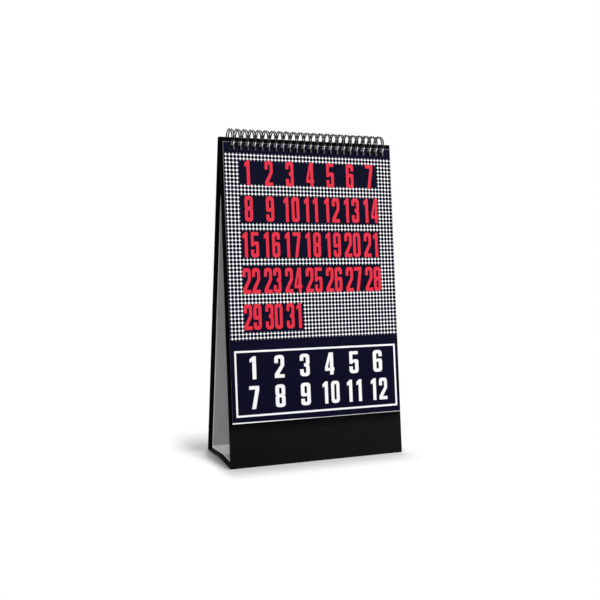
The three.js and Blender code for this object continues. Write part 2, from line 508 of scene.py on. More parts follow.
@dataclass(frozen=True)
class PlainPaper:
    """Uncoated paper: faint fibres, slight mottling and a matt surface.

    Attributes:
        name: Name of the material.
        colour: Colour of the paper.
        mottle: How much dimmer the dim patches are.
        patches: The patches.
        patch_range: Noise between which a patch goes from dim to full.
        fibre: The fibres, longer up the sheet than across.
        roughness: Middle of the roughness.
        roughness_spread: Change of the roughness over the fibres.
        rim: Millimetres off the middle plane past which the sheet's cut edge shows, or 0 for none.
        rim_colour: Colour of the cut edge.
        front_shade_share: Brightness of the half before the middle crease, as a part of the half behind it:
            painted shade.
        crease: Places along Y in metres between which the one half passes into the other.
    """

    name: str
    colour: Colour
    mottle: float = 0.05
    patches: Grain = Grain(60.0, 5.0)
    patch_range: Point2 = (0.3, 0.7)
    fibre: Grain = Grain(900.0, stretch=(1.0, 0.25, 0.25), height=0.00002, strength=0.3)
    roughness: float = 0.72
    roughness_spread: float = 0.12
    rim: float = 0.0
    rim_colour: Colour = (0.93, 0.93, 0.93)
    front_shade_share: float = 1.0
    crease: Point2 = (-0.0012, 0.0004)

    def tone(self, s: Shade, patches: Socket, share: float) -> Socket:
        """Mottles the paper's colour.

        Args:
            s: The material's node tree.
            patches: Share of the full colour.
            share: Brightness, as a part of the colour's.

        Returns:
            The mottled colour.
        """
        return s.dimmed(patches, tuple(c * share for c in self.colour), 1 - self.mottle)

    def make(self) -> bpy.types.Material:
        """Builds the material.

        Returns:
            The material.
        """
        s = Shade(self.name)
        patches = s.ramp(s.noise(self.patches), *self.patch_range)
        colour = self.tone(s, patches, 1.0)
        if self.rim:
            x, y, _ = s.place()
            # Painted shade: the half before the crease, under the front panel, is darker
            before = s.ramp(y, *self.crease, 1.0, 0.0)
            colour = s.mix(before, colour, self.tone(s, patches, self.front_shade_share))
            aside = s.calc("GREATER_THAN", s.calc("ABSOLUTE", x), self.rim * MM)
            colour = s.mix(aside, colour, self.rim_colour)
        s.surface(colour, s.vary(self.roughness, self.roughness_spread, s.noise(self.fibre)))
        return s.material


@dataclass(frozen=True)
class Ink:
    """Printing ink, slightly raised over the sheet's own fibres.

    Attributes:
        name: Name of the material.
        colour: Colour of the ink.
        dim: Brightness of its dim patches, as a part of the colour's.
        patches: The patches.
        spots: Fine spots that the ink leaves.
        roughness: Middle of the roughness.
        roughness_spread: Change of the roughness over the spots.
        specular: Specular level.
    """

    name: str
    colour: Colour
    dim: float = 0.93
    patches: Grain = Grain(40.0)
    spots: Grain = Grain(1500.0, 2.0, height=0.00001, strength=0.2)
    roughness: float = 0.4
    roughness_spread: float = 0.1
    specular: float = 0.05

    def make(self) -> bpy.types.Material:
        """Builds the material.

        Returns:
            The material.
        """
        s = Shade(self.name)
        s.surface(s.dimmed(s.noise(self.patches), self.colour, self.dim),
                  s.vary(self.roughness, self.roughness_spread, s.noise(self.spots)), self.specular)
        return s.material


@dataclass(frozen=True)
class PlatedWire:
    """Dark nickel-plated wire, with drawing marks and a painted reflection: bands of light and dark round
    the ring.

    Before the leaves one wire of each pair gets painted shade.

    Attributes:
        name: Name of the material.
        dark: Colour where the painted reflection and shade are darkest.
        light: Colour where the painted reflection is brightest.
        painted_shade_share: Share of light on the wire of a pair that gets painted shade.
        painted_shade_below: Angles between which that painted shade passes into the common light.
        between: Strands between which the painted shade passes from one wire to the other.
        bands: Each band's angle round the ring in degrees, 0 below the axis and 90 in front, and its
            share of light.
        patches: Dimmer patches.
        patch_range: Noise between which a patch goes from dim to full.
        dim: Share of light in the dim patches.
        marks: The drawing marks, longer round the ring than across.
        roughness: Middle of the roughness.
        roughness_spread: Change of the roughness over the drawing marks.
    """

    name: str = "dark_plated_wire"
    dark: Colour = (0.012, 0.012, 0.014)
    light: Colour = (0.93, 0.93, 0.95)
    painted_shade_share: float = 0.22
    painted_shade_below: Point2 = (72.0, 84.0)
    between: Point2 = (0.3, 0.7)
    # Painted reflection: bands of light and dark round the ring
    bands: tuple[Point2, ...] = (
        (29, 0.05), (36, 0.25), (42, 0.95), (62, 1.0), (68, 0.05), (96, 0.03), (107, 0.34),
        (150, 0.36), (166, 0.03), (194, 0.03), (208, 0.42), (280, 0.36), (330, 0.10))
    patches: Grain = Grain(420.0)
    patch_range: Point2 = (0.3, 0.75)
    dim: float = 0.7
    marks: Grain = Grain(1600.0, 2.0, (3.0, 0.6, 0.6), height=0.00001, strength=0.25)
    roughness: float = 0.14
    roughness_spread: float = 0.10

    def make(self) -> bpy.types.Material:
        """Builds the material.

        Returns:
            The material.
        """
        s = Shade(self.name)
        turn, strand = (s.add("ShaderNodeAttribute", attribute_name=name).outputs["Fac"]
                        for name in ("turn", "strand"))
        # Painted shade: before the leaves one wire of each pair is darker
        pair = s.calc("MAXIMUM", s.ramp(strand, *self.between, self.painted_shade_share, 1.0),
                      s.ramp(turn, *self.painted_shade_below))
        patches = s.ramp(s.noise(self.patches), *self.patch_range, self.dim, 1.0)
        share = s.calc("MULTIPLY", self.painted_reflection_round(s, turn), s.calc("MULTIPLY", pair, patches))
        s.surface(s.mix(share, self.dark, self.light),
                  s.vary(self.roughness, self.roughness_spread, s.noise(self.marks)))
        s.bsdf.inputs["Metallic"].default_value = 1.0
        return s.material

    def painted_reflection_round(self, s: Shade, turn: Socket) -> Socket:
        """Reads the painted reflection's bands.

        Args:
            s: The material's node tree.
            turn: Angle round the ring in degrees.

        Returns:
            The share of painted light at that angle.
        """
        ramp = s.add("ShaderNodeValToRGB")
        stops = ramp.color_ramp.elements
        while len(stops) < len(self.bands):
            stops.new(1.0)
        for stop, (angle, share) in zip(stops, self.bands):
            stop.position = angle / 360
            stop.color = (share, share, share, 1)
        s.link(s.calc("FRACT", s.calc("DIVIDE", turn, 360.0)), ramp.inputs[0])
        return ramp.outputs["Color"]


@dataclass(frozen=True)
class CoverPrint:
    """Navy cover with a dotted ground, plain bands behind the numerals and a white frame.

    Lengths are in millimetres from the leaf's top left corner. The ground is white with round navy
    dots, and the white between four of them shows as a white dot.

    Attributes:
        bands: Left, top, right and bottom side of each plain band.
        name: Name of the material.
        navy: Colour of the ground ink.
        dim: Brightness of the navy's dim patches, as a part of its colour's.
        patches: The patches.
        white: Colour of the paper.
        start: Left and top side of the dotted ground.
        pitches: Distance between dots across and down.
        columns_end: Right side of the dotted ground.
        rows: Rows of white dots.
        dot_rim: Radii between which a navy dot passes into the white, in pitches.
        frame: Left, top, right and bottom side of the white frame.
        line: Width of the frame's line.
        edge_highlight_width: Width of the painted highlight along the top edge and the left edge.
        edge_highlight_colour: Colour of the painted edge highlight.
        edge_highlight_share: Share of that colour on the left side, near the top.
        edge_highlight_fade: Places down the left side between which it fades out.
        foot: Bare paper below the print: its height at the left, how much it loses for each
            millimetre across, and its least height.
        spots: Fine spots that the ink leaves.
        roughness: Middle of the roughness.
        roughness_spread: Change of the roughness over the spots.
        specular: Specular level.
    """

    bands: tuple[Sides, ...]
    name: str = "cover_print"
    navy: Colour = (0.0022, 0.0026, 0.0150)
    dim: float = 0.85
    patches: Grain = Grain(30.0)
    white: Colour = WHITE_INK
    start: Point2 = (0.7, 8.9)
    pitches: Point2 = (3.07, 3.185)
    columns_end: float = 160.0
    rows: int = 48
    dot_rim: Point2 = (0.44, 0.50)
    frame: Sides = (3.4, 170.2, 149.7, 223.6)
    line: float = 1.55
    edge_highlight_width: float = 0.45
    edge_highlight_colour: Colour = (0.17, 0.17, 0.21)
    edge_highlight_share: float = 0.7
    edge_highlight_fade: Point2 = (35.0, 115.0)
    foot: tuple[float, float, float] = (0.98, 0.009, 0.26)
    spots: Grain = Grain(1400.0, 2.0, height=0.00001, strength=0.2)
    roughness: float = 0.48
    roughness_spread: float = 0.08
    specular: float = 0.02

    def ground(self, s: Shade, u: Socket, v: Socket) -> Value:
        """Marks the white of the dotted ground, whole dots only.

        Args:
            s: The material's node tree.
            u: Place across.
            v: Place down.

        Returns:
            1 on white and 0 on navy.
        """
        squares, centres = [], []
        for w, start, pitch in zip((u, v), self.start, self.pitches):
            turns = s.calc("DIVIDE", s.calc("SUBTRACT", w, start), pitch)
            aside = s.calc("SUBTRACT", s.calc("FRACT", s.calc("ADD", turns, 0.5)), 0.5)
            squares.append(s.calc("MULTIPLY", aside, aside))
            middle = s.calc("ADD", s.calc("FLOOR", turns), 0.5)
            centres.append(s.calc("MULTIPLY_ADD", middle, pitch, start))
        dotted = (*self.start, self.columns_end, self.start[1] + self.rows * self.pitches[1])
        white = s.ramp(s.calc("SQRT", s.calc("ADD", *squares)), *self.dot_rim)
        white = s.calc("MULTIPLY", white, s.inside(*centres, dotted))
        for band in self.bands:
            white = s.calc("MULTIPLY", white, s.calc("SUBTRACT", 1.0, s.inside(*centres, band)))
        return white

    def frame_line(self, s: Shade, u: Socket, v: Socket) -> Value:
        """Marks the line of the white frame.

        Args:
            s: The material's node tree.
            u: Place across.
            v: Place down.

        Returns:
            1 on the line and 0 beside it.
        """
        left, top, right, bottom = self.frame
        hollow = (left + self.line, top + self.line, right - self.line, bottom - self.line)
        return s.calc("SUBTRACT", s.inside(u, v, self.frame), s.inside(u, v, hollow))

    def make(self) -> bpy.types.Material:
        """Builds the material.

        Returns:
            The material.
        """
        s = Shade(self.name)
        u, v = s.print_place()
        white = s.calc("MAXIMUM", self.ground(s, u, v), self.frame_line(s, u, v))
        tall, slope, least = self.foot
        low = s.calc("MULTIPLY_ADD", u, slope, SIZE.leaf_height - tall)
        low = s.calc("MINIMUM", low, SIZE.leaf_height - least)
        white = s.calc("MAXIMUM", white, s.calc("GREATER_THAN", v, low))
        # Painted highlight along the top edge and the left edge, fading down the left edge
        side = s.calc("MULTIPLY", s.calc("LESS_THAN", u, self.edge_highlight_width),
                      s.ramp(v, *self.edge_highlight_fade, self.edge_highlight_share, 0.0))
        cut = s.calc("MAXIMUM", side, s.calc("LESS_THAN", v, self.edge_highlight_width))
        navy = s.dimmed(s.noise(self.patches), self.navy, self.dim)
        s.surface(s.mix(cut, s.mix(white, navy, self.white), self.edge_highlight_colour),
                  s.vary(self.roughness, self.roughness_spread, s.noise(self.spots)), self.specular)
        return s.material


@dataclass(frozen=True)
class MonthPrint:
    """White month leaf with a navy head band and a thin ruled grid.

    Lengths are in millimetres from the leaf's top left corner.

    Attributes:
        name: Name of the material.
        ink: Colour of the ink.
        paper: Colour of the paper.
        dim: Brightness of the paper between its fibres, as a part of its colour's.
        head: Left, top, right and bottom side of the head band.
        grid: Left, top, right and bottom side of the grid.
        columns: Columns of the grid.
        rows: Rows of the grid.
        line: Width of its lines.
        fibre: The fibres, longer up the sheet than across.
        roughness: Middle of the roughness.
        roughness_spread: Change of the roughness over the fibres.
    """

    name: str = "month_print"
    ink: Colour = (0.0045, 0.0050, 0.0165)
    paper: Colour = (0.80, 0.80, 0.79)
    dim: float = 0.96
    head: Sides = (9.0, 16.0, 143.4, 46.0)
    grid: Sides = (9.0, 60.0, 143.4, 210.0)
    columns: int = 7
    rows: int = 6
    line: float = 0.4
    fibre: Grain = Grain(900.0, stretch=(1.0, 0.25, 0.25), height=0.00002, strength=0.25)
    roughness: float = 0.55
    roughness_spread: float = 0.1

    def make(self) -> bpy.types.Material:
        """Builds the material.

        Returns:
            The material.
        """
        s = Shade(self.name)
        u, v = s.print_place()
        left, top, right, bottom = self.grid
        lines: Value = 0.0
        for w, start, pitch in ((u, left, (right - left) / self.columns),
                                (v, top, (bottom - top) / self.rows)):
            cell = s.calc("FRACT", s.calc("DIVIDE", s.calc("SUBTRACT", w, start - self.line / 2), pitch))
            lines = s.calc("MAXIMUM", lines, s.calc("LESS_THAN", cell, self.line / pitch))
        grid = s.calc("MULTIPLY", s.inside(u, v, self.grid), lines)
        ink = s.calc("MAXIMUM", grid, s.inside(u, v, self.head))
        fibre = s.noise(self.fibre)
        s.surface(s.mix(ink, s.dimmed(fibre, self.paper, self.dim), self.ink),
                  s.vary(self.roughness, self.roughness_spread, fibre))
        return s.material


# The rear panel's paper above its foot gets painted extra sheen
REAR_BLACK = CoveringPaper()
# The front panel's paper above its foot, behind the leaves, gets painted shade: darker and with less sheen
FRONT_BLACK_PAINTED_SHADE = CoveringPaper("black_covering_paper_front_painted_shade", above=0.3)
GREY_LINING = PlainPaper("grey_lining_paper", (0.48, 0.48, 0.49), rim=SIZE.lining_half - 0.7)
# The base's lining is a lighter copy of the grey lining: painted light
LINING_PAINTED_LIGHT = PlainPaper("lining_paper_painted_light", (0.84, 0.84, 0.85), rim=SIZE.lining_half - 1.2,
                         front_shade_share=0.66)
LEAF_PAPER = PlainPaper("white_leaf_paper", (0.80, 0.80, 0.79))
CARD_EDGE = PlainPaper("cover_card_edge", (0.20, 0.20, 0.22))
DAY_INK = Ink("red_ink", (0.665, 0.023, 0.050))
MONTH_INK = Ink("white_ink", WHITE_INK)


# Mesh making

def make_object(name: str, verts: Iterable, faces: Iterable, materials: Sequence[bpy.types.Material],
                matrix: Matrix = Matrix.Identity(4), smooth: float = 0.6) -> bpy.types.Object:
    """Makes an object at the origin from points in millimetres.

    Args:
        name: Object name.
        verts: Points in millimetres, in the frame of matrix.
        faces: Faces as tuples of point numbers.
        materials: Materials for the slots.
        matrix: Frame of the points, in metres.
        smooth: Edges sharper than this many radians stay sharp.

    Returns:
        The new object, linked to the scene.
    """
    mesh = bpy.data.meshes.new(name)
    mesh.from_pydata([matrix @ (Vector(v) * MM) for v in verts], [], list(faces))
    mesh.validate()
    for material in materials:
        mesh.materials.append(material)
    finish_mesh(mesh, smooth)
    obj = bpy.data.objects.new(name, mesh)
    bpy.context.scene.collection.objects.link(obj)
    return obj


def finish_mesh(mesh: bpy.types.Mesh, smooth: float = 0.6) -> None:
    """Turns the faces outwards and sets smooth shading up to an angle.

    Args:
        mesh: The mesh.
        smooth: Edges sharper than this many radians stay sharp.
    """
    work = bmesh.new()
    work.from_mesh(mesh)
    bmesh.ops.recalc_face_normals(work, faces=work.faces)
    work.to_mesh(mesh)
    work.free()
    mesh.shade_smooth()
    mesh.set_sharp_from_angle(angle=smooth)


def apply_modifiers(obj: bpy.types.Object) -> bpy.types.Object:
    """Replaces an object's mesh by its evaluated mesh and removes its modifiers.

    Args:
        obj: The object.

    Returns:
        The same object.
    """
    graph = bpy.context.evaluated_depsgraph_get()
    done = obj.evaluated_get(graph)
    mesh = bpy.data.meshes.new_from_object(done, preserve_all_data_layers=True, depsgraph=graph)
    obj.modifiers.clear()
    old, obj.data = obj.data, mesh
    bpy.data.meshes.remove(old)
    mesh.name = obj.name
    return obj


def round_edges(obj: bpy.types.Object, width: float, segments: int = 3) -> bpy.types.Object:
    """Rounds an object's sharp edges.

    Args:
        obj: The object.
        width: Width of the rounding in millimetres.
        segments: Faces across it.

    Returns:
        The same object.
    """
    bevel = obj.modifiers.new("round", "BEVEL")
    bevel.width = width * MM
    bevel.segments = segments
    bevel.limit_method = "ANGLE"
    bevel.angle_limit = ROUNDED_EDGE
    apply_modifiers(obj)
    finish_mesh(obj.data, smooth=0.75)
    flat = obj.modifiers.new("flat_faces", "WEIGHTED_NORMAL")
    flat.keep_sharp = True
    return apply_modifiers(obj)


def weld(mesh: bpy.types.Mesh, distance: float, fill: bool = False) -> None:
    """Joins points that lie together.

    Args:
        mesh: The mesh.
        distance: Points nearer than this are joined, in metres.
        fill: Whether open ends are closed as well.
    """
    work = bmesh.new()
    work.from_mesh(mesh)
    bmesh.ops.remove_doubles(work, verts=work.verts, dist=distance)
    if fill:
        bmesh.ops.holes_fill(work, edges=[e for e in work.edges if e.is_boundary], sides=0)
    work.to_mesh(mesh)
    work.free()


def spread(low: float, high: float, steps: int) -> list[float]:
    """Even marks from low to high, both included."""
    return [low + (high - low) * i / steps for i in range(steps + 1)]


def perforated(xs: Sequence[float], zs: Sequence[float], hole: Callable[[int, int], bool],
               front: Callable[[float, float], float], back: Callable[[float, float], float],
               shift: Callable[[float, float], float] = lambda x, z: 0.0) -> tuple[list, list, int]:
    """Closed sheet over a grid, with cells left out.

    Args:
        xs: Column marks in millimetres.
        zs: Row marks in millimetres.
        hole: Says whether the cell of a column and a row is left out.
        front: Front face's y at a point.
        back: Back face's y at a point.
        shift: Change of height at a point.

    Returns:
        The points, the faces, and how many of the faces, from the first, are front faces. The back
        faces are as many again, and the rest are the edges.
    """
    nx = len(xs)
    grid = [(x, z) for z in zs for x in xs]
    verts = [(x, front(x, z), z + shift(x, z)) for x, z in grid]
    verts += [(x, back(x, z), z + shift(x, z)) for x, z in grid]
    n = len(grid)
    cells = [
        (j * nx + i, j * nx + i + 1, (j + 1) * nx + i + 1, (j + 1) * nx + i)
        for j in range(len(zs) - 1) for i in range(nx - 1) if not hole(i, j)
    ]
    edges = {(c[k], c[(k + 1) % 4]) for c in cells for k in range(4)}
    sides = [(b, a, a + n, b + n) for a, b in edges if (b, a) not in edges]
    backs = [tuple(v + n for v in reversed(c)) for c in cells]
    used = sorted({v for c in cells for v in c})
    order = {v: k for k, v in enumerate(used)} | {v + n: k + len(used) for k, v in enumerate(used)}
    faces = [tuple(order[v] for v in f) for f in cells + backs + sides]
    return [verts[v] for v in used] + [verts[v + n] for v in used], faces, len(cells)


def slot_columns(half: float) -> tuple[list[float], set[int]]:
    """Lays out the columns of a punched sheet.

    Args:
        half: Half the sheet's width.

    Returns:
        The column marks, and which columns are slots.
    """
    marks, slots = [-half], set()
    for x in SIZE.loop_x():
        slots.add(len(marks))
        marks += [x - SIZE.slot_width / 2, x + SIZE.slot_width / 2]
    return marks + [half], slots


def extruded(profile: Sequence[Point2], xs: Sequence[float]) -> tuple[list, list]:
    """Draws an outline out along X, with open ends.

    Args:
        profile: Outline as (y, z) points.
        xs: Marks along X.

    Returns:
        The points and the faces.
    """
    n = len(profile)
    verts = [(x, y, z) for x in xs for y, z in profile]
    faces = [
        (k * n + i, k * n + (i + 1) % n, (k + 1) * n + (i + 1) % n, (k + 1) * n + i)
        for k in range(len(xs) - 1) for i in range(n)
    ]
    return verts, faces


def band(line: Sequence[Point2], thickness: float) -> list[Point2]:
    """Outlines a thin strip laid along a line.

    Args:
        line: Points of the line.
        thickness: Thickness of the strip, to the left of the line.

    Returns:
        The outline.
    """
    left = []
    for i, p in enumerate(line):
        a, b = Vector(line[max(i - 1, 0)]), Vector(line[min(i + 1, len(line) - 1)])
        t = (b - a).normalized()
        left.append((p[0] - t.y * thickness, p[1] + t.x * thickness))
    return list(line) + left[::-1]


def ladder(profile: Sequence[Point2], xs: Sequence[float]) -> tuple[list, list]:
    """Draws a strip's outline out along X, with end faces laid rung by rung.

    Args:
        profile: Outline as (y, z) points, one long side and then the other.
        xs: Marks along X.

    Returns:
        The points and the faces of a closed bar.
    """
    verts, faces = extruded(profile, xs)
    n = len(profile)
    for start in (0, (len(xs) - 1) * n):
        faces += [(start + i, start + i + 1, start + n - 2 - i, start + n - 1 - i)
                  for i in range(n // 2 - 1)]
    return verts, faces


# Sub-assemblies

def dress(node: str, material: bpy.types.Material) -> bpy.types.Object:
    """Gives a CAD node that stays in view its finish.

    Args:
        node: Name of the node.
        material: The finish.

    Returns:
        The node's object.
    """
    obj = frame["nodes"][node]
    if not obj.material_slots:
        obj.data.materials.append(material)
    for slot in obj.material_slots:
        slot.material = material
    return obj


@dataclass
class Panel:
    """One upright panel: board inside, black covering paper with rounded folds, grey lining.

    Attributes:
        front: Whether this is the panel in front.
        paper: Covering paper's material.
        lining: Lining's material.
        rounding: Width of the rounded folds of the paper.
        slot_above: How far the slots start above the ring's lowest point.
        slot_below: How far they end below it.
    """

    front: bool
    paper: bpy.types.Material
    lining: bpy.types.Material
    rounding: float = 0.42
    slot_above: float = 1.8
    slot_below: float = 1.9

    def build(self) -> list[bpy.types.Object]:
        """Makes the covered panel and dresses the lining.

        Returns:
            The pieces.
        """
        side, body = ("front", Body.STAND) if self.front else ("rear", Body.REAR)
        marks, slots = slot_columns(SIZE.easel_width / 2)
        ring_low = -SIZE.ring_radius
        zs = [SIZE.foot(self.front), ring_low - self.slot_below, ring_low + self.slot_above,
              SIZE.axis_below_top]
        inner = -SIZE.axis_to_inner - SIZE.lining - SIZE.under_lining
        verts, faces, _ = perforated(
            marks, zs, lambda i, j: j == 1 and i in slots, lambda x, z: -SIZE.outer, lambda x, z: inner)
        covered = make_object(f"{side}_covered_panel", verts, faces, [self.paper], SIZE.matrix(self.front))
        round_edges(covered, self.rounding)
        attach(covered, body.value)
        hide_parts(f"{side}_cover_paper", f"{side}_board")
        return [covered, dress(f"{side}_lining", self.lining)]


@dataclass
class Base:
    """The base: scored board under covering paper, and its lining.

    Attributes:
        paper: Covering paper's material.
        lining: Lining's material.
        steps: Sections from the crease to each end.
        columns: Sections across.
        crease_marks: Places of the closer sections on each side of the crease.
        crease_side: Where the even sections start.
        crease_soft: How softly the crease bends.
        crease_flat: How much the soft bend takes off its height.
        rounding: Width of the rounded folds of the paper.
    """

    paper: bpy.types.Material
    lining: bpy.types.Material
    steps: int = 16
    columns: int = 6
    crease_marks: tuple[float, ...] = (0.4, 0.9, 1.8)
    crease_side: float = 3.0
    crease_soft: float = 0.9
    crease_flat: float = 0.25
    rounding: float = 0.36

    def level(self, y: float) -> float:
        """Works out the height of the underside over the desk, with a soft crease.

        Args:
            y: Place along Y.

        Returns:
            The height.
        """
        inner = SIZE.base_half - SIZE.foot_width
        across = math.hypot(y, self.crease_soft) - self.crease_flat
        return SIZE.crease_rise * max(0.0, 1 - across / inner)

    def marks(self, half: float) -> list[float]:
        """Lays out the sections, closer together at the crease.

        Args:
            half: Half the layer's depth.

        Returns:
            The marks along Y.
        """
        far = spread(-half, -self.crease_side, self.steps)
        near = [-y for y in reversed(self.crease_marks)]
        return far + near + [0.0] + [-y for y in reversed(far + near)]

    def layer(self, name: str, half_x: float, half_y: float, bottom: float, top: float,
              material: bpy.types.Material) -> bpy.types.Object:
        """Makes one layer of the base.

        Args:
            name: Object name.
            half_x: Half its width.
            half_y: Half its depth.
            bottom: Its lower face over the underside of the base.
            top: Its upper face over the underside of the base.
            material: Its material.

        Returns:
            The object.
        """
        ys = self.marks(half_y)
        profile = [(y, self.level(y) + bottom) for y in ys]
        profile += [(y, self.level(y) + top) for y in reversed(ys)]
        verts, faces = ladder(profile, spread(-half_x, half_x, self.columns))
        return make_object(name, verts, faces, [material], smooth=0.5)

    def build(self) -> list[bpy.types.Object]:
        """Makes the base's pieces.

        Returns:
            The pieces.
        """
        top = SIZE.panel - SIZE.lining - SIZE.under_lining
        board = self.layer("base_covered_board", SIZE.easel_width / 2, SIZE.base_half, 0.0, top, self.paper)
        round_edges(board, self.rounding)
        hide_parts("base_cover_paper", "base_board")
        half_y = SIZE.base_half - SIZE.fold_border + SIZE.lap
        sheet = self.layer("base_lining_sheet", SIZE.lining_half, half_y, top + SIZE.under_lining,
                           SIZE.panel, self.lining)
        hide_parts("base_lining")
        ends = [(0, y * SIZE.base_half * MM, 0) for y in (-1, 1)]
        for piece in (board, sheet):
            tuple(ends[0])
            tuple(ends[1])
            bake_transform(piece)
        return [board, sheet]


@dataclass(frozen=True)
class CornerStrip:
    """A strip bent through the corner between a panel and the base.

    Attributes:
        rise: How far it climbs the panel.
        run: How far it runs along the base.
        lift: How far it stands off both.
        thickness: Thickness of the strip.
    """

    rise: float
    run: float
    lift: float
    thickness: float


@dataclass
class FoldPaper:
    """Paper of one fold: a film under it, and a black strip with lining over it in the corner.

    Attributes:
        front: Whether this is the fold in front.
        base: The base whose end it joins.
        black: The black strip in the corner.
        grey: The lining over it.
        bend_up: Height over the base at which a strip starts to bend.
        bend_in: How far the bend stands off the panel.
        bend_over: How far it stands off the base.
        bend_end: How far from the base's end the bend ends.
        film: How far inside the panel's foot, and how far inside the base's end, the film ends.
        side_margin: How much the black strip and the film fall short of the easel's side.
        columns: Sections across.
    """

    front: bool
    base: Base
    black: CornerStrip = CornerStrip(rise=0.9, run=1.3, lift=-0.04, thickness=0.09)
    grey: CornerStrip = CornerStrip(rise=1.6, run=2.2, lift=0.01, thickness=0.05)
    bend_up: float = 0.45
    bend_in: float = 0.25
    bend_over: float = 0.12
    bend_end: float = 0.5
    film: Point2 = (0.75, 1.6)
    side_margin: float = 0.3
    columns: int = 6

    def corner(self, strip: CornerStrip) -> list[Point2]:
        """Lays out a strip's line through the corner.

        Args:
            strip: The strip.

        Returns:
            Its (y, z) points, as at the rear fold.
        """
        slope = math.tan(SIZE.lean(self.front))
        inner = SIZE.base_depth / 2 - SIZE.panel / math.cos(SIZE.lean(self.front)) - strip.lift
        up = [(inner - slope * z, z) for z in (SIZE.panel + strip.rise, SIZE.panel + self.bend_up)]
        bend = [(inner - slope * SIZE.panel - self.bend_in, SIZE.panel + self.bend_over + strip.lift)]
        along = [(y, self.base.level(y) + SIZE.panel + strip.lift)
                 for y in (SIZE.base_half - self.bend_end, SIZE.base_half - strip.run)]
        return up + bend + along

    def strips(self, name: str, half: float, material: bpy.types.Material,
               lines: Sequence[Sequence[Point2]], thickness: float) -> bpy.types.Object:
        """Makes one piece from strips along lines.

        Args:
            name: Object name.
            half: Half its width.
            material: Its material.
            lines: The lines, as at the rear fold.
            thickness: Thickness of the strips.

        Returns:
            The object.
        """
        sign = -1 if self.front else 1
        verts, faces = [], []
        for line in lines:
            outline = band([(sign * y, z) for y, z in line], -sign * thickness)
            points, polygons = ladder(outline, spread(-half, half, self.columns))
            faces += [tuple(v + len(verts) for v in f) for f in polygons]
            verts += points
        return make_object(name, verts, faces, [material], smooth=0.9)

    def build(self) -> list[bpy.types.Object]:
        """Makes the fold's pieces.

        Returns:
            The pieces.
        """
        side, body = ("front", Body.STAND) if self.front else ("rear", Body.REAR)
        film = [(SIZE.base_depth / 2 - self.film[0], 0.0), (SIZE.base_half - self.film[1], 0.0)]
        paper = self.strips(f"{side}_fold_paper", SIZE.easel_width / 2 - self.side_margin, self.base.paper,
                            [self.corner(self.black), film], self.black.thickness)
        lining = self.strips(f"{side}_fold_lining", SIZE.lining_half, self.base.lining,
                             [self.corner(self.grey)], self.grey.thickness)
        for piece, slot in ((paper, "black_paper"), (lining, "lining")):
            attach(piece, body.value)
        return [paper, lining]


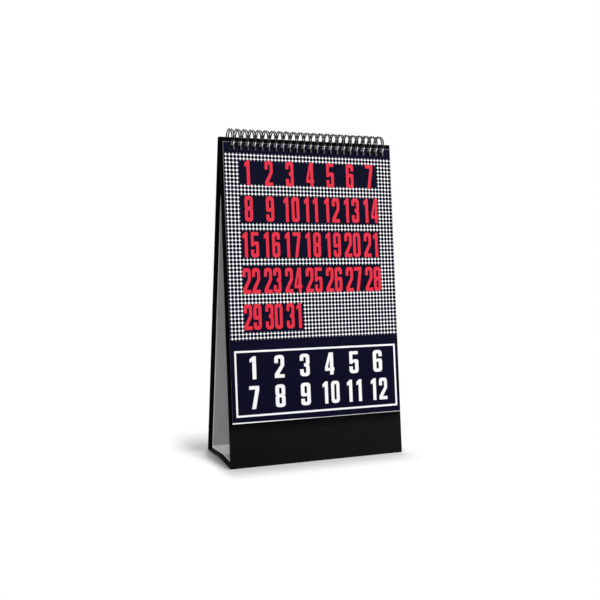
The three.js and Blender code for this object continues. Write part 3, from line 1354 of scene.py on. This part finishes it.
@dataclass
class WireBinding:
    """The twin-loop wire: one loop repeated along the ring axis by Geometry Nodes.

    Attributes:
        material: The wire's material.
        sides: Faces round the wire.
        leg_steps: Sections along each leg of a loop.
        bend_steps: Sections along half a root bend.
        tip_steps: Sections along the tip.
        joint: Points nearer than this are one point, in millimetres.
    """

    material: bpy.types.Material
    sides: int = 12
    leg_steps: int = 44
    bend_steps: int = 6
    tip_steps: int = 10
    joint: float = 0.02

    @staticmethod
    def arc(centre: Point2, radius: float, first: float, last: float, steps: int) -> list[Point2]:
        """Lays out an arc on the unrolled ring.

        Args:
            centre: Its middle as (x, degrees round the ring).
            radius: Its radius in millimetres.
            first: Angle at which it starts, in degrees.
            last: Angle at which it ends, in degrees.
            steps: Sections along it.

        Returns:
            The points as (x, degrees round the ring).
        """
        degree = SIZE.ring_radius * math.pi / 180
        turns = [math.radians(t) for t in spread(first, last, steps)]
        return [(centre[0] + radius * math.cos(t), centre[1] + radius * math.sin(t) / degree) for t in turns]

    def path(self) -> list[Point2]:
        """Lays out one loop from the middle of a root bend to the next.

        Returns:
            The points as (x, degrees round the ring).
        """
        degree = SIZE.ring_radius * math.pi / 180
        half, bend = SIZE.wire_spacing / 2, SIZE.root_bend
        start, stop = SIZE.root_angle + bend / degree, SIZE.tip_angle - half / degree
        legs = spread(start, stop, self.leg_steps)[1:-1]
        points = [(-SIZE.pitch / 2, SIZE.root_angle)]
        points += self.arc((-half - bend, start), bend, -90, 0, self.bend_steps)
        points += [(-half, a) for a in legs]
        points += self.arc((0, stop), half, 180, 0, self.tip_steps)
        points += [(half, a) for a in reversed(legs)]
        points += self.arc((half + bend, start), bend, 180, 270, self.bend_steps)
        return points + [(SIZE.pitch / 2, SIZE.root_angle)]

    @staticmethod
    def on_ring(x: float, angle: float, radius: float) -> Vector:
        """A point of the ring in the front panel's frame."""
        t = math.radians(angle)
        return Vector((x, -radius * math.sin(t), -radius * math.cos(t)))

    def loop(self) -> bpy.types.Object:
        """Makes one loop as an open tube, with its angles and its strands as attributes.

        Returns:
            The object, in metres.
        """
        path = self.path()
        centres = [self.on_ring(x, a, SIZE.ring_radius) for x, a in path]
        verts, faces, last = [], [], len(centres) - 1
        for i, centre in enumerate(centres):
            tangent = (centres[min(i + 1, last)] - centres[max(i - 1, 0)]).normalized()
            if i in (0, last):
                tangent = Vector((1, 0, 0))
            radial = self.on_ring(0, path[i][1], 1.0)
            radial = (radial - tangent * radial.dot(tangent)).normalized()
            side = tangent.cross(radial)
            for k in range(self.sides):
                t = 2 * math.pi * k / self.sides
                verts.append(centre + (radial * math.cos(t) + side * math.sin(t)) * SIZE.wire / 2)
            if i < last:
                for k in range(self.sides):
                    a, b = i * self.sides + k, i * self.sides + (k + 1) % self.sides
                    faces.append((a, b, b + self.sides, a + self.sides))
        mesh = bpy.data.meshes.new("wire_loop")
        mesh.from_pydata([v * MM for v in verts], [], faces)
        strands = [(min(max(0.5 + x / SIZE.wire_spacing, 0.0), 1.0), angle) for x, angle in path]
        for name, values in zip(("strand", "turn"), zip(*strands)):
            layer = mesh.attributes.new(name, "FLOAT", "POINT")
            layer.data.foreach_set("value", [value for value in values for _ in range(self.sides)])
        obj = bpy.data.objects.new("wire_binding_loops", mesh)
        bpy.context.scene.collection.objects.link(obj)
        return obj

    def repeater(self) -> bpy.types.NodeTree:
        """Builds a node tree that lays copies of its input along X and joins them.

        Returns:
            The tree, with the inputs Geometry, Count, Pitch and Finish.
        """
        tree = bpy.data.node_groups.new("repeat_along_x", "GeometryNodeTree")
        for name, kind, way in (
            ("Geometry", "NodeSocketGeometry", "INPUT"), ("Count", "NodeSocketInt", "INPUT"),
            ("Pitch", "NodeSocketFloat", "INPUT"), ("Finish", "NodeSocketMaterial", "INPUT"),
            ("Geometry", "NodeSocketGeometry", "OUTPUT"),
        ):
            tree.interface.new_socket(name=name, in_out=way, socket_type=kind)
        new, link = tree.nodes.new, tree.links.new
        source, sink = new("NodeGroupInput"), new("NodeGroupOutput")
        count, pitch = source.outputs["Count"], source.outputs["Pitch"]
        before, back, half = (new("ShaderNodeMath") for _ in range(3))
        before.operation, back.operation, half.operation = "SUBTRACT", "MULTIPLY", "MULTIPLY"
        before.inputs[0].default_value = 1.0
        half.inputs[1].default_value = 0.5
        link(count, before.inputs[1])
        link(before.outputs[0], back.inputs[0])
        link(pitch, back.inputs[1])
        link(back.outputs[0], half.inputs[0])
        line, start, offset = (
            new(kind) for kind in ("GeometryNodeMeshLine", "ShaderNodeCombineXYZ", "ShaderNodeCombineXYZ"))
        link(count, line.inputs["Count"])
        link(half.outputs[0], start.inputs["X"])
        link(start.outputs[0], line.inputs["Start Location"])
        link(pitch, offset.inputs["X"])
        link(offset.outputs[0], line.inputs["Offset"])
        place, real = new("GeometryNodeInstanceOnPoints"), new("GeometryNodeRealizeInstances")
        merge, paint = new("GeometryNodeMergeByDistance"), new("GeometryNodeSetMaterial")
        merge.inputs["Distance"].default_value = self.joint * MM
        link(line.outputs["Mesh"], place.inputs["Points"])
        link(source.outputs["Geometry"], place.inputs["Instance"])
        link(place.outputs["Instances"], real.inputs["Geometry"])
        link(real.outputs["Geometry"], merge.inputs["Geometry"])
        link(merge.outputs["Geometry"], paint.inputs["Geometry"])
        link(source.outputs["Finish"], paint.inputs["Material"])
        link(paint.outputs["Geometry"], sink.inputs["Geometry"])
        return tree

    def build(self) -> list[bpy.types.Object]:
        """Makes the whole binding as one closed mesh.

        Returns:
            The piece.
        """
        obj = self.loop()
        modifier = obj.modifiers.new("repeat", "NODES")
        modifier.node_group = self.repeater()
        values = {"Count": SIZE.loops, "Pitch": SIZE.pitch * MM, "Finish": self.material}
        for item in modifier.node_group.interface.items_tree:
            if item.in_out == "INPUT" and item.name in values:
                modifier[item.identifier] = values[item.name]
        apply_modifiers(obj)
        weld(obj.data, self.joint * MM, fill=True)
        obj.data.transform(SIZE.matrix(True))
        finish_mesh(obj.data, smooth=0.9)
        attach(obj, Body.STAND.value)
        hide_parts("wire_binding")
        return [obj]


@dataclass
class Leaf:
    """One hanging leaf with its punched slots, a slight curl and its print.

    Attributes:
        number: Place in the stack, 0 for the cover.
        printed: Material of the front face.
        plain: Material of the back.
        edge: Material of the cut edges.
        rows: Rows of faces below the slots.
        curl_start: How far below its top edge a leaf starts to stand off.
        curl_middle: How far the cover's foot stands off at its middle.
        curl_side: How much further it stands off at its sides.
        fan: How much further in the left edge of each leaf lies than that of the leaf before it.
        fan_play: Play of that, with its turn in radians from leaf to leaf.
        hang_play: Play of a leaf's foot up and down, with its turn in radians from leaf to leaf.
    """

    number: int
    printed: bpy.types.Material
    plain: bpy.types.Material
    edge: bpy.types.Material
    rows: int = 30
    curl_start: float = 14.0
    curl_middle: float = 0.55
    curl_side: float = 0.35
    fan: float = 0.085
    fan_play: Point2 = (0.03, 2.1)
    hang_play: Point2 = (0.08, 2.3)

    @property
    def node(self) -> str:
        """The leaf's CAD node."""
        return "cover_leaf" if self.number == 0 else f"month_leaf_{self.number:02d}"

    @property
    def thickness(self) -> float:
        """The leaf's thickness."""
        return SIZE.cover_thickness if self.number == 0 else SIZE.month_thickness

    @property
    def back(self) -> float:
        """Depth of the flat leaf's back face."""
        behind = SIZE.months - self.number
        return -SIZE.outer - SIZE.panel_to_leaf - behind * (SIZE.month_thickness + SIZE.leaf_gap)

    def curl(self, x: float, z: float) -> float:
        """Works out how far the leaf stands off.

        Args:
            x: Place across.
            z: Height in the front panel's frame.

        Returns:
            The change of depth, less than 0 for forwards.
        """
        down = max(0.0, (SIZE.leaf_top - self.curl_start - z) / SIZE.leaf_height)
        share = 1 - self.number / (SIZE.months + 1)
        side = (2 * x / SIZE.leaf_width) ** 2
        return -share * down * down * (self.curl_middle + self.curl_side * side)

    @property
    def inset(self) -> float:
        """How far the left edge of a leaf behind the cover falls short, so the stack fans out."""
        play, turn = self.fan_play
        return self.fan * self.number + play * math.sin(turn * self.number)

    def drop(self, x: float, z: float) -> float:
        """Works out how much lower a month hangs, where its slots have play.

        Args:
            x: Place across, which makes no difference.
            z: Height in the front panel's frame.

        Returns:
            The change of height.
        """
        play, turn = self.hang_play
        down = (SIZE.leaf_top - z) / SIZE.leaf_height
        return -play * down * (1 - math.cos(turn * self.number))

    def build(self) -> list[bpy.types.Object]:
        """Makes the leaf.

        Returns:
            The piece.
        """
        left = -SIZE.leaf_width / 2
        marks, slots = slot_columns(-left)
        high = SIZE.leaf_top - SIZE.slot_margin
        low = high - SIZE.slot_height
        zs = spread(SIZE.leaf_top - SIZE.leaf_height, low, self.rows) + [high, SIZE.leaf_top]
        verts, faces, fronts = perforated(
            marks, zs, lambda i, j: j == self.rows and i in slots,
            lambda x, z: self.back - self.thickness + self.curl(x, z),
            lambda x, z: self.back + self.curl(x, z), self.drop)
        verts = [(x + self.inset if x == left else x, y, z) for x, y, z in verts]
        finishes = [self.printed, self.plain, self.edge]
        obj = make_object(f"{self.node}_sheet", verts, faces, finishes, SIZE.matrix(True))
        layer = obj.data.uv_layers.new(name="print")
        for polygon in obj.data.polygons:
            # The front faces come first, then as many back faces, then the edges
            polygon.material_index = min(polygon.index // fronts, len(finishes) - 1)
            for loop in polygon.loop_indices:
                x, _, z = verts[obj.data.loops[loop].vertex_index]
                layer.data[loop].uv = ((x - left) / PRINT_UNIT, (SIZE.leaf_top - z) / PRINT_UNIT)
        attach(obj, f"{self.node}_body")
        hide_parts(self.node)
        return [obj]


# Numerals

def block(left: float, low: float, right: float, high: float, radius: float) -> list:
    """Corners of a rounded rectangle, each with its radius."""
    return [(left, low, radius), (right, low, radius), (right, high, radius), (left, high, radius)]


# Width and height of the field on which the outlines of the block numerals are drawn
FIELD = (10, 26)
SIX = (
    [(0, 0, 4), (10, 0, 4), (10, 15.8, 3.6), (4.9, 15.8, 1.2), (3.7, 14.6, 0), (3.7, 22.2, 1.2),
     (6.3, 22.2, 1.2), (6.3, 18.4, 0), (10, 18.4, 0), (10, 26, 4), (0, 26, 4)],
    block(3.7, 3.8, 6.3, 12.2, 1.2))
# Outlines of the numerals, as corners with their radii
DIGITS = {
    "0": (block(0, 0, 10, 26, 4.2), block(3.7, 3.8, 6.3, 22.2, 1.3)),
    "1": ([(3.9, 0, 0), (7.7, 0, 0), (7.7, 26, 0), (4.9, 26, 0), (1.4, 22.8, 0), (1.4, 19.0, 0),
           (3.9, 20.4, 0)],),
    "2": ([(0, 0, 0), (10, 0, 0), (10, 3.9, 0), (4.4, 3.9, 0), (10, 13.8, 2.5), (10, 26, 4), (0, 26, 4),
           (0, 17, 0), (3.7, 17, 0), (3.7, 22.2, 1.2), (6.3, 22.2, 1.2), (6.3, 14.6, 1.5),
           (0, 4.4, 1.5)],),
    "3": ([(0, 0, 4), (10, 0, 4), (10, 12.2, 1.8), (8.9, 13.2, 0.6), (10, 14.2, 1.8), (10, 26, 4),
           (0, 26, 4), (0, 18, 0), (3.7, 18, 0), (3.7, 22.2, 1.2), (6.3, 22.2, 1.2), (6.3, 15.1, 1),
           (4.2, 15.1, 0), (4.2, 11.3, 0), (6.3, 11.3, 1), (6.3, 3.8, 1.2), (3.7, 3.8, 1.2),
           (3.7, 8.2, 0), (0, 8.2, 0)],),
    "4": ([(5.3, 0, 0), (9, 0, 0), (9, 4.7, 0), (10, 4.7, 0), (10, 8.2, 0), (9, 8.2, 0), (9, 26, 0),
           (4.6, 26, 0), (0, 8.6, 0), (0, 4.7, 0), (5.3, 4.7, 0)],
          [(2.9, 8.2, 0), (5.3, 8.2, 0), (5.3, 18.6, 0)]),
    "5": ([(0, 0, 4), (10, 0, 4), (10, 16.4, 3.6), (4.9, 16.4, 1.2), (3.7, 15.4, 0), (3.7, 22.3, 0),
           (9.6, 22.3, 0), (9.6, 26, 0), (0.3, 26, 0), (0.3, 11.3, 0), (3.7, 11.3, 0), (3.7, 12.8, 0.8),
           (6.3, 12.8, 1.2), (6.3, 3.8, 1.2), (3.7, 3.8, 1.2), (3.7, 8.2, 0), (0, 8.2, 0)],),
    "6": SIX,
    "7": ([(2.2, 0, 0), (6.2, 0, 0), (10, 21.4, 0), (10, 26, 0), (0, 26, 0), (0, 22.1, 0),
           (6.2, 22.1, 0)],),
    "8": ([(0, 0, 4), (10, 0, 4), (10, 12.2, 1.8), (8.9, 13.2, 0.6), (10, 14.2, 1.8), (10, 26, 4),
           (0, 26, 4), (0, 14.2, 1.8), (1.1, 13.2, 0.6), (0, 12.2, 1.8)],
          block(3.7, 3.8, 6.3, 11.3, 1.2), block(3.7, 15.1, 6.3, 22.2, 1.2)),
    "9": tuple([(FIELD[0] - x, FIELD[1] - y, r) for x, y, r in outline] for outline in SIX),
}


def rounded(corners: Sequence[tuple[float, float, float]], steps: int = 5,
            most: float = 0.49) -> list[Point2]:
    """Rounds the corners of an outline.

    Args:
        corners: Each corner's place and its radius.
        steps: Sections of a rounded corner.
        most: Most of a side that one corner takes up, as a share of it.

    Returns:
        The outline's points.
    """
    points: list[Point2] = []
    for i, (x, y, radius) in enumerate(corners):
        here = Vector((x, y))
        if radius == 0:
            points.append((x, y))
            continue
        before = Vector(corners[i - 1][:2]) - here
        after = Vector(corners[(i + 1) % len(corners)][:2]) - here
        room = most * min(before.length, after.length)
        reach = min(radius / math.tan(before.angle(after) / 2), room)
        start, stop = here + before.normalized() * reach, here + after.normalized() * reach
        for t in spread(0.0, 1.0, steps):
            curve = start * (1 - t) ** 2 + here * (2 * t * (1 - t)) + stop * t ** 2
            points.append((curve.x, curve.y))
    return points


@dataclass(frozen=True)
class TextBox:
    """A number and its place on the cover, in millimetres from the leaf's top left corner."""

    text: str
    left: float
    top: float
    width: float
    height: float


@dataclass
class Numerals:
    """Printed block numerals laid on the cover leaf.

    Attributes:
        name: Object name.
        leaf: Leaf that they lie on.
        ink: Their material.
        boxes: The numbers.
        gap: Distance between two digits of a number, as a share of its width.
        film: How far the ink stands off the leaf.
        sunk: How far it reaches into it.
        joint: Points nearer than this are one point, in millimetres.
        glyphs: Meshes of the digits made so far.
    """

    name: str
    leaf: Leaf
    ink: bpy.types.Material
    boxes: Sequence[TextBox]
    gap: float = 0.075
    film: float = 0.045
    sunk: float = 0.02
    joint: float = 0.001
    glyphs: dict = field(default_factory=dict)

    def glyph(self, digit: str) -> tuple[list, list]:
        """Makes a digit's closed mesh in a unit box.

        Args:
            digit: The digit.

        Returns:
            The points, with their depth as -1 or 1, and the faces.
        """
        if digit not in self.glyphs:
            curve = bpy.data.curves.new("digit", "CURVE")
            curve.dimensions, curve.fill_mode, curve.extrude = "2D", "BOTH", 0.5
            for outline in DIGITS[digit]:
                points = rounded(outline)
                spline = curve.splines.new("POLY")
                spline.points.add(len(points) - 1)
                for slot, (x, y) in zip(spline.points, points):
                    slot.co = (x, y, 0, 1)
                spline.use_cyclic_u = True
            obj = bpy.data.objects.new("digit", curve)
            bpy.context.scene.collection.objects.link(obj)
            bpy.context.view_layer.update()
            mesh = bpy.data.meshes.new_from_object(obj)
            unit = [(v.co.x / FIELD[0], v.co.y / FIELD[1], 1 if v.co.z > 0 else -1) for v in mesh.vertices]
            self.glyphs[digit] = unit, [tuple(f.vertices) for f in mesh.polygons]
            bpy.data.objects.remove(obj)
            bpy.data.curves.remove(curve)
            bpy.data.meshes.remove(mesh)
        return self.glyphs[digit]

    def build(self) -> list[bpy.types.Object]:
        """Makes all the numerals as one mesh.

        Returns:
            The piece.
        """
        verts, faces = [], []
        for box in self.boxes:
            gap = self.gap * box.width if len(box.text) > 1 else 0.0
            wide = (box.width - gap * (len(box.text) - 1)) / len(box.text)
            for k, digit in enumerate(box.text):
                points, polygons = self.glyph(digit)
                x0 = box.left + k * (wide + gap) - SIZE.leaf_width / 2
                z0 = SIZE.leaf_top - box.top - box.height
                start = len(verts)
                for px, py, side in points:
                    x, z = x0 + px * wide, z0 + py * box.height
                    face = self.leaf.back - self.leaf.thickness + self.leaf.curl(x, z)
                    verts.append((x, face - self.film if side > 0 else face + self.sunk, z))
                faces += [tuple(v + start for v in f) for f in polygons]
        obj = make_object(self.name, verts, faces, [self.ink], SIZE.matrix(True), smooth=0.5)
        weld(obj.data, self.joint * MM)
        finish_mesh(obj.data, smooth=0.5)
        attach(obj, Body.COVER.value)
        return [obj]


@dataclass(frozen=True)
class NumberGrid:
    """Numbers from 1 up in rows, one-digit numbers narrower and set further in.

    Attributes:
        count: How many numbers there are.
        columns: Numbers in a row.
        left: Left side of the first column.
        top: Top of the first row.
        column: Distance between columns.
        row: Distance between rows.
        height: Height of a number.
        width: Width of a number of two digits.
        single: Width of a number of one digit.
        indent: How much further in it starts.
        margin: Plain margin at the sides and above and below a row.
    """

    count: int
    columns: int
    left: float
    top: float
    column: float
    row: float
    height: float
    width: float
    single: float
    indent: float
    margin: Point2 = (0.0, 0.0)

    def boxes(self) -> list[TextBox]:
        """Places the numbers.

        Returns:
            The numbers and their places.
        """
        boxes = []
        for k in range(self.count):
            row, place = divmod(k, self.columns)
            text = str(k + 1)
            double = len(text) == 2
            left = self.left + place * self.column + (0.0 if double else self.indent)
            boxes.append(TextBox(text, left, self.top + row * self.row,
                                 self.width if double else self.single, self.height))
        return boxes

    def bands(self) -> tuple[Sides, ...]:
        """Lays a plain band behind each row.

        Returns:
            The bands' left, top, right and bottom sides.
        """
        beside, above = self.margin
        bands = []
        for k in range(0, self.count, self.columns):
            numbers = min(self.columns, self.count - k)
            top = self.top + k // self.columns * self.row
            right = self.left + (numbers - 1) * self.column + self.width
            bands.append((self.left - beside, top - above, right + beside, top + self.height + above))
        return tuple(bands)


DAYS = NumberGrid(count=31, columns=7, left=13.0, top=14.6, column=18.5, row=29.5, height=21.0,
                  width=15.0, single=7.05, indent=3.9, margin=(0.4, 0.3))
MONTHS = NumberGrid(count=12, columns=6, left=11.0, top=175.0, column=22.6, row=24.0, height=18.6,
                    width=16.5, single=8.6, indent=4.0)


# Stage

@dataclass(frozen=True)
class Camera:
    """The camera at the photograph's angle.

    Attributes:
        location: Its place in metres.
        azimuth: Turn of its view about the vertical, in degrees.
        elevation: How far it looks down, in degrees.
        roll: Turn about its view, in degrees.
        focal_px: Focal length in pixels of the picture.
        picture_px: Width of the picture in pixels.
        sensor: Width of the sensor in millimetres.
    """

    location: tuple[float, float, float] = (-0.28586, -0.67557, 0.20035)
    azimuth: float = 22.47
    elevation: float = 5.34
    roll: float = 0.75
    focal_px: float = 859.2
    picture_px: float = 600.0
    sensor: float = 36.0

    def build(self) -> None:
        """Makes the camera."""
        data = bpy.data.cameras.new("camera")
        data.sensor_width = self.sensor
        data.lens = self.focal_px / self.picture_px * self.sensor
        cam = bpy.data.objects.new("camera", data)
        a, e, r = (math.radians(v) for v in (self.azimuth, self.elevation, self.roll))
        ahead = Vector((math.sin(a) * math.cos(e), math.cos(a) * math.cos(e), -math.sin(e)))
        right = ahead.cross(Vector((0, 0, 1))).normalized()
        up = right.cross(ahead)
        x = right * math.cos(r) + up * math.sin(r)
        y = up * math.cos(r) - right * math.sin(r)
        turn = Matrix((x, y, -ahead)).transposed().to_4x4()
        cam.matrix_world = Matrix.Translation(self.location) @ turn
        bpy.context.scene.collection.objects.link(cam)
        bpy.context.scene.camera = cam


@dataclass(frozen=True)
class Floor:
    """Pale floor, which keeps the object's shadow and fades into the white backdrop.

    Attributes:
        colour: Its colour.
        roughness: Its roughness.
        specular: Its specular level.
        half: Half its side in metres.
        below: How far it lies below the desk plane, in metres.
        fade: Distances from the easel's foot between which it fades, in metres.
        beside_front: How much faster it fades beside the easel, at the front.
        behind: Share of the speed behind the easel, so that the shadow reaches further there.
    """

    colour: Colour = (0.80, 0.80, 0.80)
    roughness: float = 0.9
    specular: float = 0.1
    half: float = 6.0
    below: float = 0.00005
    fade: Point2 = (0.003, 0.034)
    beside_front: float = 2.6
    behind: float = 0.45

    def away(self, s: Shade) -> Socket:
        """Measures the distance from the easel's foot, faster or slower by direction.

        Args:
            s: The material's node tree.

        Returns:
            The distance in metres.
        """
        x, y, _ = s.place()
        half_x, half_y = SIZE.easel_width / 2 * MM, SIZE.base_depth / 2 * MM
        beside = s.calc("MAXIMUM", s.calc("SUBTRACT", s.calc("ABSOLUTE", x), half_x), 0.0)
        beside = s.calc("MULTIPLY", beside, s.ramp(y, -half_y, half_y, self.beside_front, 1.0))
        before = s.calc("SUBTRACT", s.calc("MULTIPLY", y, -1.0), half_y)
        behind = s.calc("MULTIPLY", s.calc("SUBTRACT", y, half_y), self.behind)
        beyond = s.calc("MAXIMUM", s.calc("MAXIMUM", before, behind), 0.0)
        return s.calc("SQRT", s.calc("MULTIPLY_ADD", beside, beside, s.calc("MULTIPLY", beyond, beyond)))

    def material(self) -> bpy.types.Material:
        """Builds the floor's material.

        Returns:
            The material.
        """
        s = Shade("pale_floor")
        s.surface((*self.colour, 1), self.roughness, self.specular)
        white = s.add("ShaderNodeEmission")
        fade, pick = s.add("ShaderNodeMixShader"), s.add("ShaderNodeMixShader")
        s.link(s.ramp(self.away(s), *self.fade), fade.inputs[0])
        s.link(s.bsdf.outputs[0], fade.inputs[1])
        s.link(white.outputs[0], fade.inputs[2])
        s.link(s.add("ShaderNodeLightPath").outputs["Is Camera Ray"], pick.inputs[0])
        s.link(s.bsdf.outputs[0], pick.inputs[1])
        s.link(fade.outputs[0], pick.inputs[2])
        s.link(pick.outputs[0], s.out.inputs["Surface"])
        return s.material

    def build(self) -> None:
        """Makes the floor."""
        mesh = bpy.data.meshes.new("floor")
        r = self.half
        mesh.from_pydata([(-r, -r, 0), (r, -r, 0), (r, r, 0), (-r, r, 0)], [], [(0, 1, 2, 3)])
        mesh.materials.append(self.material())
        obj = bpy.data.objects.new("floor", mesh)
        obj.location.z = -self.below
        bpy.context.scene.collection.objects.link(obj)


@dataclass(frozen=True)
class Backdrop:
    """White backdrop and the even light from all round.

    Attributes:
        ambient: Strength of the even light.
        reflected: Its strength in reflections.
        seen: Its strength as the camera sees it.
    """

    ambient: float = 0.50
    reflected: float = 0.20
    seen: float = 1.0

    def build(self) -> None:
        """Makes the backdrop."""
        world = bpy.data.worlds.new("studio")
        bpy.context.scene.world = world
        world.use_nodes = True
        new, link = world.node_tree.nodes.new, world.node_tree.links.new
        world.node_tree.nodes.clear()
        rays, out = new("ShaderNodeLightPath"), new("ShaderNodeOutputWorld")
        shader = None
        for strength, ray in ((self.ambient, None), (self.reflected, "Is Glossy Ray"),
                              (self.seen, "Is Camera Ray")):
            node = new("ShaderNodeBackground")
            node.inputs["Color"].default_value = (1, 1, 1, 1)
            node.inputs["Strength"].default_value = strength
            if ray:
                mix = new("ShaderNodeMixShader")
                link(rays.outputs[ray], mix.inputs[0])
                link(shader, mix.inputs[1])
                link(node.outputs[0], mix.inputs[2])
                node = mix
            shader = node.outputs[0]
        link(shader, out.inputs[0])


@dataclass(frozen=True)
class SoftLight:
    """A round soft light, aimed at the middle of the object.

    Attributes:
        name: Its name.
        place: Its place in metres.
        size: Its diameter in metres.
        power: Its power in watts.
        aim: Where it is aimed, in metres.
    """

    name: str
    place: tuple[float, float, float]
    size: float
    power: float
    aim: tuple[float, float, float] = (0, 0, 0.13)

    def build(self) -> None:
        """Makes the light."""
        data = bpy.data.lights.new(self.name, "AREA")
        data.shape, data.size, data.energy = "DISK", self.size, self.power
        obj = bpy.data.objects.new(self.name, data)
        obj.location = self.place
        obj.rotation_mode = "QUATERNION"
        obj.rotation_quaternion = (Vector(self.place) - Vector(self.aim)).to_track_quat("Z", "Y")
        bpy.context.scene.collection.objects.link(obj)


LIGHTS = (
    SoftLight("key", (0.70, -1.75, 0.92), size=1.2, power=24.0),
    SoftLight("through", (0.85, -0.12, 0.42), size=0.22, power=4.6),
    SoftLight("back", (0.20, 0.75, 1.15), size=0.6, power=4.5),
)


def report(pieces: Iterable[bpy.types.Object]) -> None:
    """Logs each piece with its number of faces."""
    for piece in pieces:
        log.info("%s: %d faces", piece.name, len(piece.data.polygons))


def main() -> None:
    """Builds the stage and the calendar."""
    logging.basicConfig(level=logging.INFO, format="%(name)s: %(message)s")
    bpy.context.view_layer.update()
    bpy.context.scene.view_settings.view_transform = "Standard"
    for part in (Camera(), Floor(), Backdrop(), *LIGHTS):
        part.build()
    grey, white = GREY_LINING.make(), LEAF_PAPER.make()
    black, month_print = REAR_BLACK.make(), MonthPrint().make()
    report(Panel(front=True, paper=FRONT_BLACK_PAINTED_SHADE.make(), lining=grey).build())
    report(Panel(front=False, paper=black, lining=grey).build())
    base = Base(paper=black, lining=LINING_PAINTED_LIGHT.make())
    report(base.build())
    report(FoldPaper(front=True, base=base).build())
    report(FoldPaper(front=False, base=base).build())
    report(WireBinding(PlatedWire().make()).build())
    cover = Leaf(0, printed=CoverPrint(DAYS.bands()).make(), plain=white, edge=CARD_EDGE.make())
    report(cover.build())
    for number in range(1, SIZE.months + 1):
        report(Leaf(number, printed=month_print, plain=white, edge=white).build())
    report(Numerals("cover_day_numbers", cover, DAY_INK.make(), DAYS.boxes()).build())
    report(Numerals("cover_month_numbers", cover, MONTH_INK.make(), MONTHS.boxes()).build())
    log.info("scene made")


if __name__ == "__main__":
    main()
